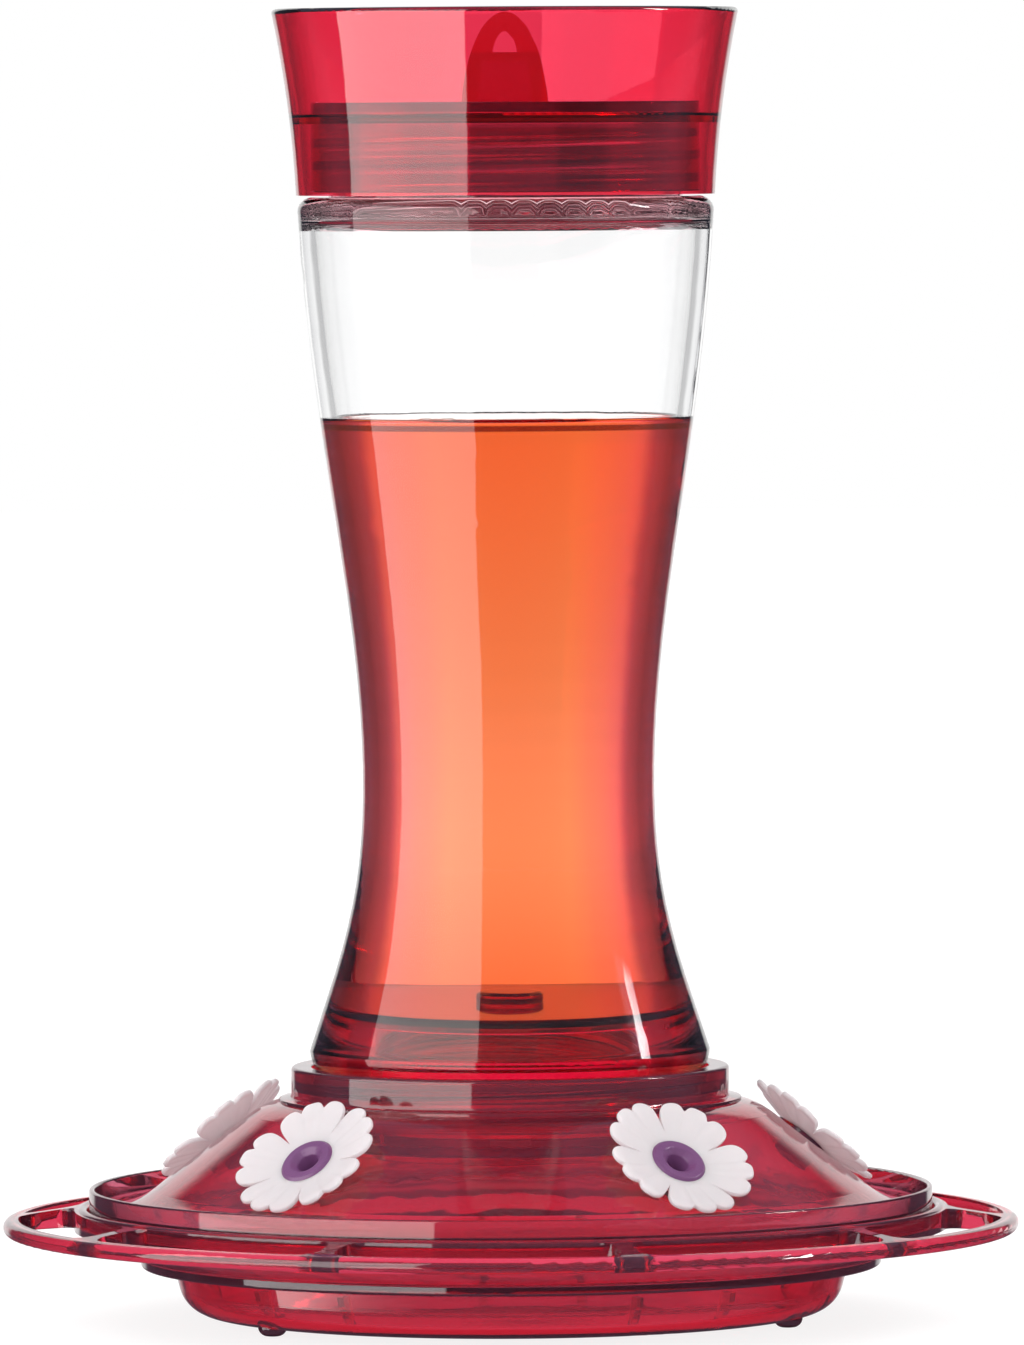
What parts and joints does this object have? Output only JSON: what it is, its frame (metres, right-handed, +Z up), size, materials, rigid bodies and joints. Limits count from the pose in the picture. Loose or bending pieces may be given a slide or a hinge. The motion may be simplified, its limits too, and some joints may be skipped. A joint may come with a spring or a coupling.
{
  "type": "hummingbird feeder",
  "caption": "Hourglass glass-bottle nectar feeder with a flared ant-moat cap, a domed base with flower ports and a ring perch; fills from the top, hangs or stands.",
  "frame": {"origin": "on the axis, in the plane of the feet", "axes": "+Z up along the bottle's axis; the front of the feeder faces -Y and +X is to its right"},
  "size_m": [0.23, 0.23, 0.2967],
  "materials": {
    "red_plastic": "clear dark red moulded plastic, glossy",
    "cap_plastic": "clear crimson moulded plastic, glossy",
    "clear_glass": "clear blown glass",
    "nectar_fill": "clear orange-red sugar water",
    "seal_rubber": "translucent white silicone, satin",
    "white_plastic": "glossy white moulded plastic",
    "purple_plastic": "satin purple moulded plastic"
  },
  "bodies": {
    "tray": {"base_tray": "red_plastic", "tray_seal": "seal_rubber"},
    "deck": {"feeder_deck": "red_plastic", "flow_plug": "red_plastic", "valve_seal": "seal_rubber"},
    "collar_ring": {"collar_seal": "seal_rubber"},
    "bottle": {"glass_bottle": "clear_glass", "nectar": "nectar_fill"},
    "cap_ring": {"cap_gasket": "seal_rubber"},
    "cap": {"moat_cap": "cap_plastic"},
    "flower_set_1": {"flower_1": "white_plastic", "port_1": "purple_plastic"},
    "flower_set_2": {"flower_2": "white_plastic", "port_2": "purple_plastic"},
    "flower_set_3": {"flower_3": "white_plastic", "port_3": "purple_plastic"},
    "flower_set_4": {"flower_4": "white_plastic", "port_4": "purple_plastic"},
    "flower_set_5": {"flower_5": "white_plastic", "port_5": "purple_plastic"}
  },
  "joints": [
    {"name": "deck_lift", "type": "slide", "parent": "tray", "child": "deck", "axis": [0, 0, 1], "range_m": [0, 0.05]},
    {"name": "bottle_rise", "type": "slide", "parent": "deck", "child": "collar_ring", "axis": [0, 0, 1], "range_m": [0, 0.01295]},
    {"name": "bottle_turn", "type": "hinge", "parent": "collar_ring", "child": "bottle", "pos_m": [0, 0, 0.05], "axis": [0, 0, 1], "range_deg": [0, 900]},
    {"name": "cap_rise", "type": "slide", "parent": "bottle", "child": "cap_ring", "axis": [0, 0, 1], "range_m": [0, 0.01295]},
    {"name": "cap_turn", "type": "hinge", "parent": "cap_ring", "child": "cap", "pos_m": [0, 0, 0.265], "axis": [0, 0, 1], "range_deg": [0, 900]},
    {"name": "flower_pull_1", "type": "slide", "parent": "deck", "child": "flower_set_1", "axis": [-0.4301, -0.5126, 0.7431], "range_m": [0, 0.015]},
    {"name": "flower_pull_2", "type": "slide", "parent": "deck", "child": "flower_set_2", "axis": [0.3546, -0.5675, 0.7431], "range_m": [0, 0.015]},
    {"name": "flower_pull_3", "type": "slide", "parent": "deck", "child": "flower_set_3", "axis": [0.6493, 0.1619, 0.7431], "range_m": [0, 0.015]},
    {"name": "flower_pull_4", "type": "slide", "parent": "deck", "child": "flower_set_4", "axis": [0.0467, 0.6675, 0.7431], "range_m": [0, 0.015]},
    {"name": "flower_pull_5", "type": "slide", "parent": "deck", "child": "flower_set_5", "axis": [-0.6204, 0.2507, 0.7431], "range_m": [0, 0.015]}
  ],
  "couplings": [
    {"joint": "bottle_rise", "follows": "bottle_turn", "m_per_rad": 0.00081169},
    {"joint": "cap_rise", "follows": "cap_turn", "m_per_rad": 0.00081169}
  ]
}
